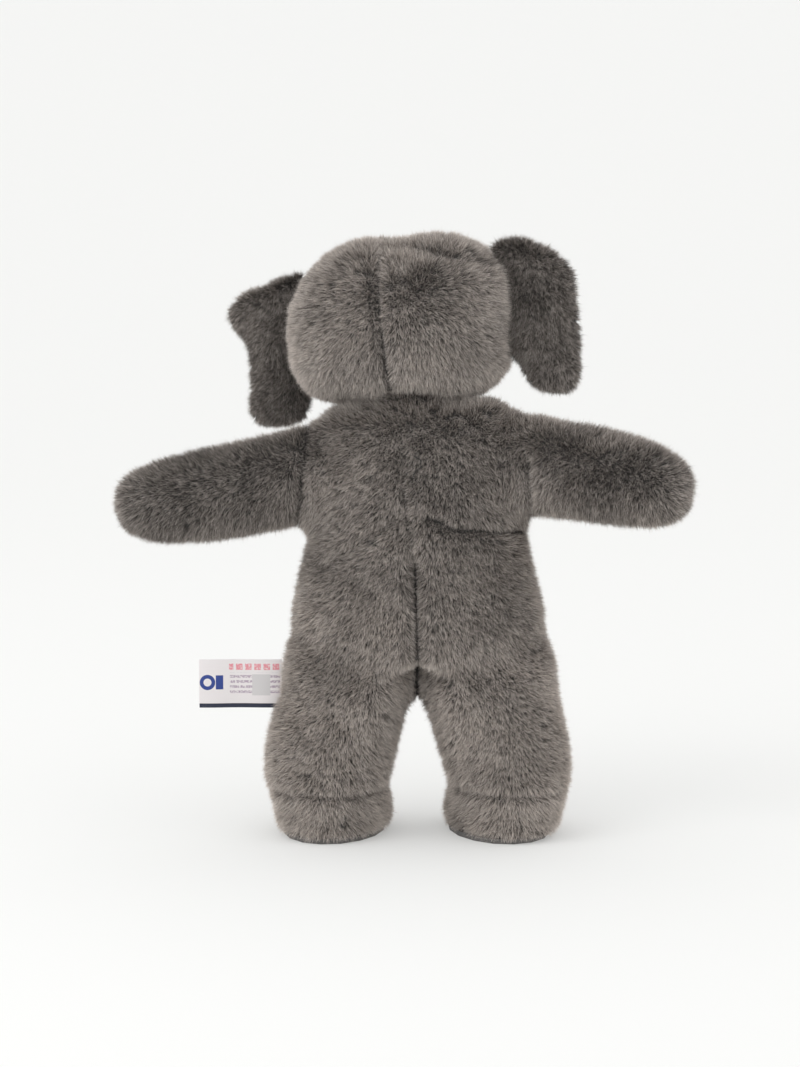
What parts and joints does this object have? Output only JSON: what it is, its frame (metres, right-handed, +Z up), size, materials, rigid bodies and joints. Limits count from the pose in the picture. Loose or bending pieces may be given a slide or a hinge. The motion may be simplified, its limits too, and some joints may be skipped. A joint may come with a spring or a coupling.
{
  "type": "plush dog",
  "caption": "Soft plush dog that stands on two legs, with a turning and nodding head, floppy ears, and arms and legs that swing at their seams.",
  "frame": {"origin": "on the floor, at the bottom centre of the body between the soles", "axes": "+Z up, the dog faces -Y, its left side is +X"},
  "size_m": [0.2729, 0.1427, 0.2868],
  "materials": {
    "fur": "matte",
    "lining": "matte",
    "filling": "matte",
    "black_plastic": "gloss",
    "white_plastic": "satin",
    "thread": "matte",
    "white_tape": "satin",
    "navy_tape": "satin"
  },
  "bodies": {
    "torso": {"torso_back_left": "fur", "torso_front_left": "fur", "torso_back_right": "fur", "torso_front_right": "fur", "torso_stuffing": "filling", "closing_stitches": "thread"},
    "neck": {"neck_stuffing": "filling"},
    "head": {"eye_left": "black_plastic", "eye_left_washer": "white_plastic", "eye_right": "black_plastic", "eye_right_washer": "white_plastic", "nose": "black_plastic", "nose_washer": "white_plastic", "head_back_left": "fur", "face_left": "fur", "head_back_right": "fur", "face_right": "fur", "forehead_gusset": "fur", "throat_gusset": "fur", "muzzle_upper": "fur", "muzzle_lower": "fur", "head_stuffing": "filling", "mouth_stitching": "thread"},
    "ear_left": {"ear_left_outer": "fur", "ear_left_lining": "lining"},
    "ear_right": {"ear_right_outer": "fur", "ear_right_lining": "lining"},
    "arm_left": {"arm_left_back": "fur", "arm_left_front": "fur", "arm_left_stuffing": "filling"},
    "arm_right": {"arm_right_back": "fur", "arm_right_front": "fur", "arm_right_stuffing": "filling"},
    "leg_left": {"leg_left_back": "fur", "leg_left_front": "fur", "leg_left_stuffing": "filling", "foot_left_upper": "fur", "foot_left_stuffing": "filling", "foot_left_sole": "lining", "label_care_side": "white_tape", "label_dark_side": "navy_tape"},
    "leg_right": {"leg_right_back": "fur", "leg_right_front": "fur", "leg_right_stuffing": "filling", "foot_right_upper": "fur", "foot_right_stuffing": "filling", "foot_right_sole": "lining"}
  },
  "joints": [
    {"name": "head_turn", "type": "hinge", "parent": "torso", "child": "neck", "pos_m": [-0.0018, 0.0066, 0.206], "axis": [0, 0, 1], "range_deg": [-30, 30], "stiffness_Nm_per_rad": 0.5},
    {"name": "head_nod", "type": "hinge", "parent": "neck", "child": "head", "pos_m": [-0.0018, 0.0066, 0.206], "axis": [0.9877, -0.1564, 0], "range_deg": [-20, 12], "stiffness_Nm_per_rad": 0.8},
    {"name": "ear_left_flap", "type": "hinge", "parent": "head", "child": "ear_left", "pos_m": [0.04847, -0.02274, 0.26507], "axis": [-0.1564, -0.9877, 0], "range_deg": [0, 75]},
    {"name": "ear_right_flap", "type": "hinge", "parent": "head", "child": "ear_right", "pos_m": [-0.0419, -0.00843, 0.27469], "axis": [0.1564, 0.9877, 0], "range_deg": [0, 75]},
    {"name": "arm_left_raise", "type": "hinge", "parent": "torso", "child": "arm_left", "pos_m": [0.0442, 0.0146, 0.177], "axis": [0.0698, -0.9976, 0], "range_deg": [-45, 35], "stiffness_Nm_per_rad": 0.35},
    {"name": "arm_right_raise", "type": "hinge", "parent": "torso", "child": "arm_right", "pos_m": [-0.0558, 0.0146, 0.177], "axis": [0.5446, 0.8387, 0], "range_deg": [-45, 35], "stiffness_Nm_per_rad": 0.35},
    {"name": "leg_left_swing", "type": "hinge", "parent": "torso", "child": "leg_left", "pos_m": [0.0267, 0.0126, 0.075], "axis": [-1, 0, 0], "range_deg": [-15, 75], "stiffness_Nm_per_rad": 1.2},
    {"name": "leg_right_swing", "type": "hinge", "parent": "torso", "child": "leg_right", "pos_m": [-0.0383, 0.0126, 0.075], "axis": [-1, 0, 0], "range_deg": [-15, 75], "stiffness_Nm_per_rad": 1.2}
  ]
}
